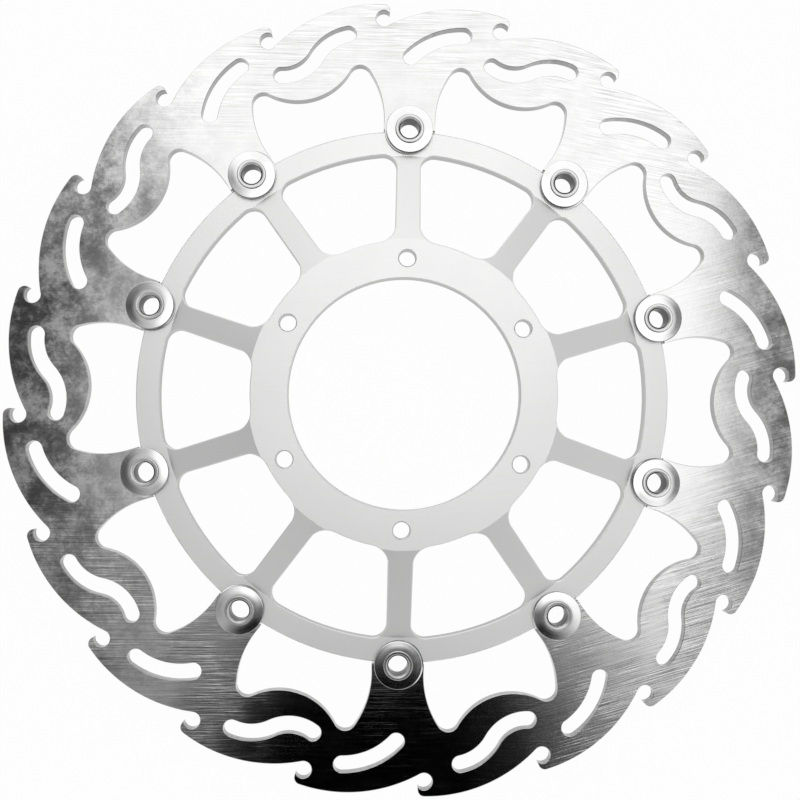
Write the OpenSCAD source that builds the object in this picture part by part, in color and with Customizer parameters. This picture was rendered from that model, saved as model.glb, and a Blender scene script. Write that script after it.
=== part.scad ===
// Floating front brake disc for a motorcycle.
// A steel brake ring hangs on ten hollow bobbins around a dished aluminium carrier.
// The origin is on the disc's axis, in the plane of the hub's inner face.
// +Z points along the axis to the outer face, and one bobbin stands on the +Y axis.

/* [Brake ring] */
// Outside diameter over the teeth
ring_od = 320; // [305:1:345]
// Thickness of the ring
ring_t = 5; // [4:0.1:6.5]
// Depth of the centre of each hook's notch below the rim
notch_depth = 6.2; // [5.8:0.1:6.6]
// Radius of each hook's notch
notch_r = 3.3; // [3:0.1:3.6]
// Radius of the rounded tip that overhangs each notch
tip_r = 2.7; // [2.4:0.1:3]
// Place of a tooth's crest, as a share of the pitch past its notch
crest_share = 0.858; // [0.83:0.001:0.88]
// Width of the track that the pads sweep, at its narrowest
track_w = 34.4; // [33:0.1:36]

/* [Slots] */
// Width of both kinds of slot
slot_w = 6.5; // [4:0.1:7]
// Depth of the curved slot's inner end below the rim
arc_slot_depth = 22.2; // [21:0.1:23]
// Direction in which the curved slot leaves that end
arc_slot_heading = 46.6; // [40:0.1:50]
// Radius of the curved slot's middle line
arc_slot_r = 29.5; // [26:0.1:34]
// Angle through which the curved slot turns
arc_slot_turn = 46.5; // [35:0.1:50]
// Depth of the S slot's inner end below the rim
s_slot_depth = 21.2; // [20:0.1:22]
// Place of that end, in degrees round from the middle of the window
s_slot_lead = 4.2; // [3.5:0.1:5]
// Direction in which the S slot leaves that end
s_slot_heading = -22.2; // [-25:0.1:-18]
// Radius of the S slot's inner bend
s_slot_inner_r = 16; // [14:0.1:18]
// Angle through which the inner bend turns
s_slot_inner_turn = 61.2; // [58:0.1:64]
// Radius of the S slot's outer bend
s_slot_outer_r = 19.3; // [17:0.1:22]
// Angle through which the outer bend turns
s_slot_outer_turn = 48.6; // [40:0.1:52]

/* [Tabs and windows] */
// Width of the tab that carries each bobbin
tab_w = 20.8; // [19:0.1:23]
// Length of the window between the track and the bobbin circle
tab_l = 18.1; // [16:0.1:24]
// Radius of the window's rounded lobes
lobe_r = 4.5; // [3.5:0.1:5.5]
// Height of the centres of the lobes above the bottom of the window's hump
lobe_rise = 5.2; // [4.5:0.1:6.5]
// Radius of the flare at each side of a tab
flare_r = 36; // [30:0.5:42]

/* [Carrier] */
// Bore of the hub
bore_d = 92; // [80:0.5:96]
// Thickness of the carrier
carrier_t = 6; // [5:0.1:8]
// Height of the hub's outer face above the brake ring's
dish = 8; // [0:0.1:15]
// Outside diameter of the flat hub
hub_od = 123.8; // [120:0.1:132]
// Width of the flat rim outside the windows
rim_w = 9.3; // [8.5:0.1:12]
// Width of a spoke
spoke_w = 9.7; // [8:0.1:14]
// Radius of the windows' outer corners
outer_corner_r = 5.5; // [2:0.1:8]
// Radius of the windows' inner corners
inner_corner_r = 8; // [2:0.1:10]
// Number of wheel bolts
bolt_count = 6; // [4:1:8]
// Diameter of the circle of wheel bolts
bolt_pcd = 108; // [106:0.1:110]
// Diameter of a wheel bolt's hole
bolt_hole_d = 6.6; // [5.5:0.1:9]
// Chamfer on the carrier's outer edges and holes
chamfer = 0.4; // [0.2:0.05:0.6]

/* [Bobbins] */
// Diameter of the barrel between the ring and the carrier
barrel_d = 15; // [13:0.1:16.5]
// Diameter of the neck that the washer sits on
neck_d = 11; // [10:0.1:12]
// Diameter of the swaged lip over the washer
lip_d = 11.7; // [11.2:0.1:12.4]
// Height of the lip above the washer
lip_h = 0.8; // [0.4:0.1:1.5]
// Bore of the bobbin
bobbin_bore_d = 7.8; // [6:0.1:8.4]
// Diameter of the bore's countersunk mouth
mouth_d = 9.2; // [8.8:0.1:10]
// Diameter of the rear flange
flange_d = 19; // [17:0.1:20]
// Thickness of the rear flange
flange_t = 1.5; // [1:0.1:2.5]

/* [Washers and wave springs] */
// Outside diameter of the front washer
washer_d = 19; // [18:0.1:21]
// Thickness of the front washer
washer_t = 1.5; // [1:0.1:2.5]
// Outside diameter of the wave spring
spring_d = 19.6; // [18:0.1:21]
// Thickness of the wave spring's strip
strip_t = 0.4; // [0.3:0.05:0.6]
// Height of the wave spring from trough to crest
spring_h = 1.1; // [0.8:0.05:2]
// Waves round one spring
waves = 3; // [2:1:5]

/* [Clearances] */
// Running clearance round a bobbin's barrel
barrel_fit = 0.1; // [0.02:0.01:0.1]
// Clearance between a neck and its washer
neck_fit = 0.05; // [0.02:0.01:0.2]
// Gap between the carrier's rim and the ends of the tabs
rim_gap = 1; // [0.5:0.1:2]
// Clearance round a flange in the carrier's rear recess
recess_fit = 0.5; // [0.2:0.1:1]
// Clearance inside a wave spring
spring_fit = 0.35; // [0.2:0.05:0.8]
// Clearance at a wave spring's troughs and crests
spring_seat = 0.05; // [0.02:0.01:0.1]

/* [Hidden] */
bobbin_count = 10;                // one for each spoke, tab and window
tooth_count = 2 * bobbin_count;
notch_lead = -4.24;               // degrees round from a bobbin to the notch before it
smooth = 96;                      // segments of a full circle
spring_segments = 48;             // segments round a wave spring
tolerance = 0.05;                 // largest gap between an arc and its chords
past = 1;                         // how far a cutter runs past a face
window_bite = 0.8;                // how far a spoke window cuts into the flat hub and the flat rim

// The levels that the pieces are stacked from.
hub_front_z = carrier_t;
front_z = hub_front_z - dish;
ring_back_z = front_z - ring_t;
rim_back_z = front_z - carrier_t;
spring_z = front_z + spring_seat;
shoulder_z = spring_z + spring_h + spring_seat;

pitch = 360 / bobbin_count;
rim_r = ring_od / 2;
bobbin_circle_r = rim_r - track_w - tab_l;
carrier_r = bobbin_circle_r - rim_gap / 2;
tab_end_r = bobbin_circle_r + rim_gap / 2;
window_in_r = hub_od / 2 - window_bite;
window_out_r = carrier_r - rim_w;
pocket_r = barrel_d / 2 + barrel_fit;

// ---- outline helpers ----
// Directions are in degrees from +X turning left. Places round the disc are from +Y turning right.
function along(a) = [cos(a), sin(a)];
function left_of(a) = [-sin(a), cos(a)];
function direction(v) = atan2(v[1], v[0]);
function polar(r, a) = r * [sin(a), cos(a)];
function turned(p, a) = [p[0] * cos(a) + p[1] * sin(a), p[1] * cos(a) - p[0] * sin(a)];
function flipped(p) = [-p[0], p[1]];
function backwards(pts) = [for (i = [len(pts) - 1:-1:0]) pts[i]];
function steps(r, a) = max(2, ceil(abs(a) / (2 * acos(1 - tolerance / abs(r)))));
// The points of an arc from direction a to direction b, without the last one.
function arc(c, r, a, b) = let (n = steps(r, b - a))
    [for (i = [0:n - 1]) c + r * along(a + (b - a) * i / n)];

module round_the_disc(count) {
    for (k = [0:count - 1]) rotate([0, 0, -k * 360 / count]) children();
}

// ---- teeth ----
// One tooth, drawn with its notch on +Y and its tip one tooth pitch further round.
// The notch, the long back and the tip are arcs that meet smoothly.
tooth_pitch = 360 / tooth_count;
crest_a = crest_share * tooth_pitch;
notch_c_r = rim_r - notch_depth;
notch_c = [0, notch_c_r];
back_r = (rim_r * rim_r + notch_c_r * notch_c_r - 2 * notch_c_r * cos(crest_a) * rim_r - notch_r * notch_r)
    / (2 * (rim_r - notch_c_r * cos(crest_a) + notch_r));
back_c = polar(rim_r - back_r, crest_a);
past_crest_a = tooth_pitch - crest_a;
tip_c_r = (rim_r - back_r) * cos(past_crest_a)
    + sqrt(pow(back_r - tip_r, 2) - pow((rim_r - back_r) * sin(past_crest_a), 2));
tip_c = polar(tip_c_r, tooth_pitch);
back_from_a = direction(notch_c - back_c);
back_to_a = direction(tip_c - back_c);
// The tip's circle crosses the circle of the notch below it at the point of the hook.
notch_below = tip_c_r - notch_c_r;
hook_drop = (notch_below * notch_below + tip_r * tip_r - notch_r * notch_r) / (2 * notch_below);
hook_side = sqrt(tip_r * tip_r - hook_drop * hook_drop);

function tooth() = concat(
    arc(notch_c, notch_r, direction([hook_side, notch_below - hook_drop]), 180 + back_from_a),
    arc(back_c, back_r, back_from_a, back_to_a),
    arc(tip_c, tip_r, back_to_a, direction([hook_side, -hook_drop]) - tooth_pitch)
);
function ring_edge() = [
    for (k = [0:tooth_count - 1]) for (p = tooth()) turned(p, k * tooth_pitch + notch_lead)
];

// ---- windows between the tabs ----
// Half a window, drawn with its middle on +Y: the neck and flare beside the left tab,
// the rounded lobe, and half of the hump that holds the track.
hump_bottom_r = rim_r - track_w;
lobe_c = polar(hump_bottom_r + lobe_rise, -pitch / 4);
hump_rise = lobe_c[1] - hump_bottom_r;
hump_r = (pow(lobe_c[0], 2) + hump_rise * hump_rise - lobe_r * lobe_r) / (2 * (lobe_r + hump_rise));
hump_c = [0, hump_bottom_r + hump_r];
lobe_from_tab = turned(lobe_c, pitch / 2);
flare_side = tab_w / 2 + flare_r;
flare_up = lobe_from_tab[1] - sqrt(pow(flare_r - lobe_r, 2) - pow(lobe_from_tab[0] - flare_side, 2));
flare_c = turned([flare_side, flare_up], -pitch / 2);
neck_foot = turned([tab_w / 2, tab_end_r - barrel_d], -pitch / 2);
half_window = concat(
    [neck_foot],
    arc(flare_c, flare_r, 180 + pitch / 2, direction(lobe_c - flare_c)),
    arc(lobe_c, lobe_r, direction(lobe_c - flare_c), direction(hump_c - lobe_c)),
    arc(hump_c, hump_r, 180 + direction(hump_c - lobe_c), 270)
);
ring_window = concat(
    half_window,
    [[0, hump_bottom_r]],
    [for (p = backwards(half_window)) flipped(p)]
);

// ---- slots ----
// A slot follows a list of bends [radius, turn] from the origin along +X, both negative to the right.
function bend_end(p, a, bend) = p + bend[0] * (left_of(a) - left_of(a + bend[1]));
function bend_side(p, a, bend, w, first) = let (n = steps(abs(bend[0]) + slot_w, bend[1]))
    [for (i = [first:first + n - 1]) p + bend[0] * left_of(a) - (bend[0] - w) * left_of(a + bend[1] * i / n)];
function slot_side(bends, w, first, p = [0, 0], a = 0, k = 0) = k == len(bends) ? [] : concat(
    bend_side(p, a, bends[k], w, first),
    slot_side(bends, w, first, bend_end(p, a, bends[k]), a + bends[k][1], k + 1)
);
function slot_end(bends, p = [0, 0], a = 0, k = 0) = k == len(bends) ? [p, a]
    : slot_end(bends, bend_end(p, a, bends[k]), a + bends[k][1], k + 1);
function slot_outline(bends) = let (end = slot_end(bends)) concat(
    slot_side(bends, slot_w / 2, 0),
    arc(end[0], slot_w / 2, end[1] + 90, end[1] - 90),
    backwards(slot_side(bends, -slot_w / 2, 1)),
    arc([0, 0], slot_w / 2, 270, 90)
);

module slot(place_a, depth, start_a, bends) {
    rotate([0, 0, -place_a])
        translate([0, rim_r - depth])
        rotate([0, 0, start_a])
        polygon(slot_outline(bends));
}

// ---- carrier windows ----
// One window between two spokes, drawn with its middle on +Y, with a rounded corner at each end of a spoke.
outer_c_r = window_out_r - outer_corner_r;
inner_c_r = window_in_r + inner_corner_r;
outer_c_a = asin((spoke_w / 2 + outer_corner_r) / outer_c_r) - pitch / 2;
inner_c_a = asin((spoke_w / 2 + inner_corner_r) / inner_c_r) - pitch / 2;
half_spoke_window = concat(
    arc([0, 0], window_in_r, 90, 90 - inner_c_a),
    arc(polar(inner_c_r, inner_c_a), inner_corner_r, 270 - inner_c_a, 180 + pitch / 2),
    arc(polar(outer_c_r, outer_c_a), outer_corner_r, 180 + pitch / 2, 90 - outer_c_a),
    arc([0, 0], window_out_r, 90 - outer_c_a, 90)
);
spoke_window = concat(
    half_spoke_window,
    [[0, window_out_r]],
    [for (i = [len(half_spoke_window) - 1:-1:1]) flipped(half_spoke_window[i])]
);

module at_bobbins() {
    round_the_disc(bobbin_count) translate([0, bobbin_circle_r]) children();
}

module at_bobbin(k) {
    rotate([0, 0, -k * pitch]) translate([0, bobbin_circle_r, 0]) children();
}

// ---- sub-parts ----
module brake_ring() {
    color([0.62, 0.62, 0.63])
    translate([0, 0, ring_back_z])
    linear_extrude(height = ring_t)
    difference() {
        polygon(ring_edge());
        circle(r = tab_end_r, $fn = smooth);
        round_the_disc(bobbin_count) {
            rotate([0, 0, -pitch / 2]) polygon(ring_window);
            slot(0, arc_slot_depth, arc_slot_heading, [[-arc_slot_r, -arc_slot_turn]]);
            slot(pitch / 2 - s_slot_lead, s_slot_depth, s_slot_heading,
                [[s_slot_inner_r, s_slot_inner_turn], [-s_slot_outer_r, -s_slot_outer_turn]]);
        }
        at_bobbins() circle(r = pocket_r, $fn = smooth);
    }
}

// Half the section of the carrier: flat hub, sloping spokes and flat rim.
carrier_section = [
    [bore_d / 2, 0],
    [hub_od / 2, 0],
    [window_out_r - window_bite, rim_back_z],
    [carrier_r - chamfer, rim_back_z],
    [carrier_r, rim_back_z + chamfer],
    [carrier_r, front_z - chamfer],
    [carrier_r - chamfer, front_z],
    [window_out_r - window_bite, front_z],
    [hub_od / 2, hub_front_z],
    [bore_d / 2 + chamfer, hub_front_z],
    [bore_d / 2, hub_front_z - chamfer]
];

module carrier() {
    cut_h = hub_front_z - rim_back_z + 2 * past;
    color([0.85, 0.86, 0.87])
    difference() {
        rotate_extrude($fn = smooth) polygon(carrier_section);
        translate([0, 0, rim_back_z - past])
            linear_extrude(height = cut_h)
            round_the_disc(bobbin_count) rotate([0, 0, -pitch / 2]) polygon(spoke_window);
        translate([0, 0, rim_back_z - past])
            linear_extrude(height = cut_h)
            at_bobbins() circle(r = pocket_r, $fn = smooth);
        translate([0, 0, rim_back_z - past])
            linear_extrude(height = max(carrier_t - ring_t, 0) + past)
            at_bobbins() circle(r = flange_d / 2 + recess_fit, $fn = smooth);
        for (k = [0:bolt_count - 1]) rotate([0, 0, -k * 360 / bolt_count])
            translate([0, bolt_pcd / 2, 0]) bolt_hole();
    }
}

module bolt_hole() {
    translate([0, 0, -past])
        cylinder(d = bolt_hole_d, h = carrier_t + 2 * past, $fn = smooth);
    translate([0, 0, hub_front_z - chamfer])
        cylinder(d1 = bolt_hole_d, d2 = bolt_hole_d + 2 * (chamfer + past), h = chamfer + past, $fn = smooth);
}

// A hollow turned bobbin: rear flange, barrel, neck and a lip swaged over the washer.
module bobbin(k) {
    washer_top_z = shoulder_z + washer_t;
    top_z = washer_top_z + lip_h;
    mouth_h = (mouth_d - bobbin_bore_d) / 2;
    color([0.55, 0.55, 0.56])
    at_bobbin(k)
    rotate_extrude($fn = smooth) polygon([
        [bobbin_bore_d / 2, ring_back_z - flange_t],
        [flange_d / 2, ring_back_z - flange_t],
        [flange_d / 2, ring_back_z],
        [barrel_d / 2, ring_back_z],
        [barrel_d / 2, shoulder_z],
        [neck_d / 2, shoulder_z],
        [neck_d / 2, washer_top_z],
        [lip_d / 2, washer_top_z],
        [lip_d / 2, top_z - lip_h / 2],
        [lip_d / 2 - lip_h / 2, top_z],
        [mouth_d / 2, top_z],
        [bobbin_bore_d / 2, top_z - mouth_h]
    ]);
}

module washer(k) {
    color([0.75, 0.75, 0.76])
    at_bobbin(k)
    translate([0, 0, shoulder_z])
    difference() {
        cylinder(d = washer_d, h = washer_t, $fn = smooth);
        translate([0, 0, -past])
            cylinder(d = neck_d + 2 * neck_fit, h = washer_t + 2 * past, $fn = smooth);
    }
}

// A strip of spring steel bent into a ring, rising and falling `waves` times in a turn.
module wave_spring(k) {
    rise = spring_h - strip_t;
    in_r = barrel_d / 2 + spring_fit;
    out_r = spring_d / 2;
    points = [
        for (i = [0:spring_segments - 1])
            let (a = 360 * i / spring_segments, z = rise * (1 + cos(waves * a)) / 2)
                each [
                    [in_r * cos(a), in_r * sin(a), z],
                    [out_r * cos(a), out_r * sin(a), z],
                    [out_r * cos(a), out_r * sin(a), z + strip_t],
                    [in_r * cos(a), in_r * sin(a), z + strip_t]
                ]
    ];
    faces = [
        for (i = [0:spring_segments - 1], j = [0:3])
            let (p = 4 * i, q = 4 * ((i + 1) % spring_segments), m = (j + 1) % 4)
                each [[p + j, p + m, q + m], [p + j, q + m, q + j]]
    ];
    color([0.45, 0.46, 0.48])
    at_bobbin(k)
    translate([0, 0, spring_z])
    polyhedron(points = points, faces = faces);
}

brake_ring();
carrier();
bobbin(0);  // bobbin_01
bobbin(1);  // bobbin_02
bobbin(2);  // bobbin_03
bobbin(3);  // bobbin_04
bobbin(4);  // bobbin_05
bobbin(5);  // bobbin_06
bobbin(6);  // bobbin_07
bobbin(7);  // bobbin_08
bobbin(8);  // bobbin_09
bobbin(9);  // bobbin_10
washer(0);  // washer_01
washer(1);  // washer_02
washer(2);  // washer_03
washer(3);  // washer_04
washer(4);  // washer_05
washer(5);  // washer_06
washer(6);  // washer_07
washer(7);  // washer_08
washer(8);  // washer_09
washer(9);  // washer_10
wave_spring(0);  // wave_spring_01
wave_spring(1);  // wave_spring_02
wave_spring(2);  // wave_spring_03
wave_spring(3);  // wave_spring_04
wave_spring(4);  // wave_spring_05
wave_spring(5);  // wave_spring_06
wave_spring(6);  // wave_spring_07
wave_spring(7);  // wave_spring_08
wave_spring(8);  // wave_spring_09
wave_spring(9);  // wave_spring_10
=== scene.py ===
# %% [markdown]
# # A floating brake disc, built piece by piece
# A motorcycle's front disc is two wheels in one: a hard steel ring that the pads grip, and a light
# aluminium carrier that bolts to the hub. Ten hollow bobbins join them and let the ring slide a little
# and grow when it is hot. The exact solids come first, as a fixed frame. Each one is then covered by
# a finer piece that rides on the same body.

# %% Load the frame
import math

import bmesh
import bpy
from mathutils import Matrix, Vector


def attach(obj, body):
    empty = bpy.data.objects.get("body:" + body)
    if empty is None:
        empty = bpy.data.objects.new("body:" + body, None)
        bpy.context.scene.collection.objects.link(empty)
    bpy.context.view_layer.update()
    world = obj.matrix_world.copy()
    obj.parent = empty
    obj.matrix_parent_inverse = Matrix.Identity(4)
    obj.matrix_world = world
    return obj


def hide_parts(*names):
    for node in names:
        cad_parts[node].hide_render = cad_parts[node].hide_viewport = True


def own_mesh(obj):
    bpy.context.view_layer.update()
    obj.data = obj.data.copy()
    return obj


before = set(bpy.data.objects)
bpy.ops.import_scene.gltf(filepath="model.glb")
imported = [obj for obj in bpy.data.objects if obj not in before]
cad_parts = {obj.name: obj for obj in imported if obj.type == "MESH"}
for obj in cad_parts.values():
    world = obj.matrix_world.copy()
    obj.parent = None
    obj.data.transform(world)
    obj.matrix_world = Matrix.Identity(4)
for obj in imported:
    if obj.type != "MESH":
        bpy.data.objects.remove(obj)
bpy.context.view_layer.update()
scene = bpy.context.scene

# %% [markdown]
# The workshop's sizes are in millimetres, and Blender works in metres, so every size is written once
# in millimetres and turned with `MM`. Heights are measured along the axle, from the hub's inner face.

# %% Sizes
MM = 0.001
BOBBINS = 10
PITCH = 360 / BOBBINS
print("degrees from one bobbin to the next:", PITCH)

# %% [markdown]
# A piece is a mesh whose place is in its vertices, so its object stays at the origin, unturned.

# %% Helper for pieces
def piece(name, mesh, material):
    obj = bpy.data.objects.new(name, mesh)
    scene.collection.objects.link(obj)
    mesh.name = name
    mesh.materials.clear()
    mesh.materials.append(material)
    return obj


# %% [markdown]
# ## Camera, floor and light
# The disc lies on a pale table and is seen from almost straight above, through a lens a little longer
# than normal. The camera looks down the axle from about half a metre, a few degrees off to one side,
# so the inner walls of the windows just show.

# %% Camera
SENSOR_MM, LENS_MM = 36.0, 54.43
CAMERA_PLACE = (-17.01, -24.83, 483.31)
CAMERA_TURN = (2.627, -1.895, 1.260)

lens = bpy.data.cameras.new("camera")
lens.sensor_width = SENSOR_MM
lens.lens = LENS_MM
lens.clip_start = 10 * MM
camera = bpy.data.objects.new("camera", lens)
camera.location = Vector(CAMERA_PLACE) * MM
camera.rotation_euler = [math.radians(a) for a in CAMERA_TURN]
scene.collection.objects.link(camera)
scene.camera = camera
print("the camera stands", round(camera.location.length * 1000), "mm from the hub")

# %% [markdown]
# A finish is a small circuit: nodes, and links between them. `Circuit` holds both, with one short word
# for each kind of node that comes up often, so that a finish below reads as what it does to the metal.

# %% Helpers for finishes
class Circuit:
    """The nodes and links of one finish. Every method returns the new node's output."""

    def __init__(self, tree, end):
        tree.nodes.clear()
        self.nodes, self.links = tree.nodes, tree.links
        self.end = self.add(end).inputs["Surface"]

    def add(self, kind, **settings):
        """One node. Keyword names that are sockets are set on them, and the rest are properties."""
        node = self.nodes.new(kind)
        for key, value in settings.items():
            if hasattr(node, key):
                setattr(node, key, value)
            else:
                node.inputs[key.replace("_", " ")].default_value = value
        return node

    def feed(self, socket, value):
        """A number is set on the socket, and an output is linked to it."""
        if isinstance(value, bpy.types.NodeSocket):
            self.links.new(value, socket)
        else:
            socket.default_value = value

    def fit(self, value, low, high, smooth=False, source=(0.0, 1.0)):
        """A value moved from the range `source` to the range from `low` to `high`."""
        node = self.add("ShaderNodeMapRange", interpolation_type="SMOOTHSTEP" if smooth else "LINEAR",
                        From_Min=source[0], From_Max=source[1], To_Min=low, To_Max=high)
        self.links.new(value, node.inputs["Value"])
        return node.outputs[0]

    def mix(self, factor, a, b):
        node = self.add("ShaderNodeMix", data_type="FLOAT")
        for number, value in ((0, factor), (2, a), (3, b)):
            self.feed(node.inputs[number], value)
        return node.outputs[0]

    def calc(self, operation, a, b=0.0):
        node = self.add("ShaderNodeMath", operation=operation)
        self.feed(node.inputs[0], a)
        self.feed(node.inputs[1], b)
        return node.outputs[0]

    def vector(self, operation, a, b=None):
        """Vector arithmetic. `LENGTH` returns a number, and the others return a vector."""
        node = self.add("ShaderNodeVectorMath", operation=operation)
        self.links.new(a, node.inputs[0])
        if b is not None:
            self.links.new(b, node.inputs["Scale" if operation == "SCALE" else 1])
        return node.outputs["Value" if operation == "LENGTH" else "Vector"]

    def split(self, vector):
        """The X, Y and Z of a vector, by name."""
        node = self.add("ShaderNodeSeparateXYZ")
        self.links.new(vector, node.inputs[0])
        return node.outputs

    def noise(self, vector, scale, detail, roughness):
        node = self.add("ShaderNodeTexNoise", Scale=scale, Detail=detail, Roughness=roughness)
        self.links.new(vector, node.inputs["Vector"])
        return node.outputs["Fac"]

    def bump(self, height, depth, under=None):
        """A bump `depth` mm deep, added to the one `under` it."""
        node = self.add("ShaderNodeBump", Strength=1.0, Distance=depth * MM)
        self.links.new(height, node.inputs["Height"])
        if under is not None:
            self.links.new(under, node.inputs["Normal"])
        return node.outputs[0]

    def finish_with(self, share, below, above):
        """Ends the circuit with two shaders, blended by a share."""
        node = self.add("ShaderNodeMixShader")
        for socket, value in zip(node.inputs, (share, below.outputs[0], above.outputs[0])):
            self.links.new(value, socket)
        self.links.new(node.outputs[0], self.end)


def new_finish(name):
    material = bpy.data.materials.new(name)
    material.use_nodes = True
    return material, Circuit(material.node_tree, "ShaderNodeOutputMaterial")


# %% [markdown]
# A floor that is lit like everything else would look grey next to metal. Seen by the camera, and in the
# metal, most of it is plain white, and the part that takes light keeps a soft shadow under the disc. It
# lies level with the backs of the bobbins' rear flanges.

# %% Floor
FLANGE_Z = -8.5
TABLE_TONE, TABLE_WHITE_SHARE = 0.86, 0.97
TABLE_HALF = 6.0                # metres
WHITE = (1.0, 1.0, 1.0, 1.0)


def make_floor():
    material, finish = new_finish("pale_table")
    lit = finish.add("ShaderNodeBsdfDiffuse", Color=(TABLE_TONE, TABLE_TONE, TABLE_TONE, 1.0))
    white = finish.add("ShaderNodeEmission", Color=WHITE, Strength=1.0)
    ray = finish.add("ShaderNodeLightPath").outputs
    seen = finish.calc("MAXIMUM", ray["Is Camera Ray"], ray["Is Glossy Ray"])
    finish.finish_with(finish.calc("MULTIPLY", seen, TABLE_WHITE_SHARE), lit, white)
    sides = ((-1, -1), (1, -1), (1, 1), (-1, 1))
    corners = [(x * TABLE_HALF, y * TABLE_HALF, FLANGE_Z * MM) for x, y in sides]
    mesh = bpy.data.meshes.new("floor")
    mesh.from_pydata(corners, [], [(0, 1, 2, 3)])
    return piece("floor", mesh, material)


floor = make_floor()
print("the floor lies at", FLANGE_Z, "mm")

# %% [markdown]
# Bright metal has no colour of its own to speak of: it shows the room. A disc like this is best seen
# between big white panels, and the gap left for the camera shows up in the steel as a black patch.
# Here the room is drawn in the world's shader. Round the zenith, one ramp says how bright the panel in
# each direction is, in degrees clockwise from +Y.

# %% Panels round the zenith
PANELS = [
    (0, 1.28), (50, 1.32), (90, 1.34), (112, 1.32), (120, 1.32), (128, 1.28), (134, 1.00), (141, 0.60),
    (148, 0.34), (155, 0.08), (161, 0.01), (170, 0.0), (200, 0.0), (206, 0.03), (212, 0.20),
    (219, 0.54), (228, 0.42), (238, 0.20), (250, 0.10), (264, 0.09), (282, 0.08), (294, 0.20),
    (303, 0.30), (309, 0.50), (315, 1.15), (321, 1.32), (335, 1.28),
]
PANELS_TURN = (2.93, -2.0, 0.0)
BRIGHTEST = 1.35


def panel_place(angle):
    """Where a direction, in degrees clockwise from +Y, falls on a radial gradient."""
    return ((90 - angle) % 360 / 360 + 0.5) % 1.0


def panel_stops():
    """The ramp's stops. Its two ends meet behind -X, so both hold the level between their neighbours."""
    stops = sorted((panel_place(angle), level) for angle, level in PANELS)
    (first, first_level), (last, last_level) = stops[0], stops[-1]
    seam = last_level + (first_level - last_level) * (1 - last) / (first + 1 - last)
    return [(0.0, seam)] + stops + [(1.0, seam)]


def panel_level(room, way):
    """The level of the panel that a direction points to."""
    round_about = room.add("ShaderNodeTexGradient", gradient_type="RADIAL")
    room.links.new(way, round_about.inputs[0])
    ramp = room.add("ShaderNodeValToRGB")
    ramp.color_ramp.interpolation = "EASE"
    stops, elements = panel_stops(), ramp.color_ramp.elements
    while len(elements) < len(stops):
        elements.new(0.5)
    for element, (place, level) in zip(elements, stops):
        element.position = place
        element.color = (*[level / BRIGHTEST] * 3, 1.0)
    room.links.new(round_about.outputs["Fac"], ramp.inputs[0])
    return room.calc("MULTIPLY", ramp.outputs[0], BRIGHTEST)


print("stops on the panels' ramp:", len(panel_stops()))

# %% [markdown]
# The rest of the room is simple shapes. A place on the ceiling is its distance sideways for each metre
# up. The height of a direction is 1 at the zenith and 0 at the horizon. The right-hand panel ends early,
# so the ring's right edge shows the grey beside it, and on the left a soft glow comes from inside the
# dark panel. Low down, the panels give way to plain walls, and a round lamp stands beside the camera.

# %% Studio
RIGHT_PANEL_END, PAST_THE_END = (0.272, 0.348), 0.14
GLOW_PLACE, GLOW_SHAPE = (-0.165, 0.05, 1.0), (1.0, 2.0, 1.0)
GLOW_REACH, GLOW_LEVEL = (0.035, 0.095), 0.55
WALL_LEVEL, WALL_TO_RIGHT, WALL_TO_TOP = 0.84, 0.21, -0.10
PANEL_HEIGHTS, PANEL_LEAST = (0.82, 0.935), 0.37
LAMP_EDGE, LAMP_FOOT, LAMP_LEVEL = (0.979, 0.9925), (-0.11, -0.04), 1.62
LAMP_RING, LAMP_RING_LEVEL = (0.974, 0.978), 0.14


def make_studio():
    world = bpy.data.worlds.new("studio")
    scene.world = world
    world.use_nodes = True
    room = Circuit(world.node_tree, "ShaderNodeOutputWorld")
    way = room.add("ShaderNodeTexCoord").outputs["Generated"]
    tilt = room.add("ShaderNodeMapping", vector_type="POINT",
                    Rotation=[math.radians(a) for a in PANELS_TURN])
    room.links.new(way, tilt.inputs["Vector"])
    tilted = room.split(tilt.outputs[0])
    ceiling = room.vector("DIVIDE", way, room.split(way)["Z"])
    spot = room.split(ceiling)

    level = room.calc("MULTIPLY", panel_level(room, tilt.outputs[0]),
                      room.fit(spot["X"], 1.0, PAST_THE_END, True, RIGHT_PANEL_END))
    oval = room.add("ShaderNodeMapping", vector_type="TEXTURE", Location=GLOW_PLACE, Scale=GLOW_SHAPE)
    room.links.new(ceiling, oval.inputs["Vector"])
    reach = room.vector("LENGTH", oval.outputs[0])
    level = room.calc("ADD", level, room.fit(reach, GLOW_LEVEL, 0.0, True, GLOW_REACH))

    sideways = room.calc("MULTIPLY", tilted["X"], WALL_TO_RIGHT)
    upward = room.calc("MULTIPLY", tilted["Y"], WALL_TO_TOP)
    walls = room.calc("ADD", room.calc("ADD", sideways, upward), WALL_LEVEL)
    level = room.mix(room.fit(tilted["Z"], PANEL_LEAST, 1.0, True, PANEL_HEIGHTS), walls, level)

    level = room.calc("MAXIMUM", level, room.fit(tilted["Z"], 0.0, LAMP_RING_LEVEL, True, LAMP_RING))
    lamp = room.calc("MULTIPLY", room.fit(tilted["Z"], 0.0, 1.0, True, LAMP_EDGE),
                     room.fit(spot["Y"], 0.0, 1.0, True, LAMP_FOOT))
    level = room.mix(lamp, level, LAMP_LEVEL)
    lit = room.add("ShaderNodeBackground", Strength=1.0)
    room.links.new(level, lit.inputs["Color"])
    white = room.add("ShaderNodeBackground", Color=WHITE, Strength=1.0)
    room.finish_with(room.add("ShaderNodeLightPath").outputs["Is Camera Ray"], lit, white)
    return len(room.nodes)


print("nodes in the studio:", make_studio())
scene.view_settings.view_transform = "Standard"

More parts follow.
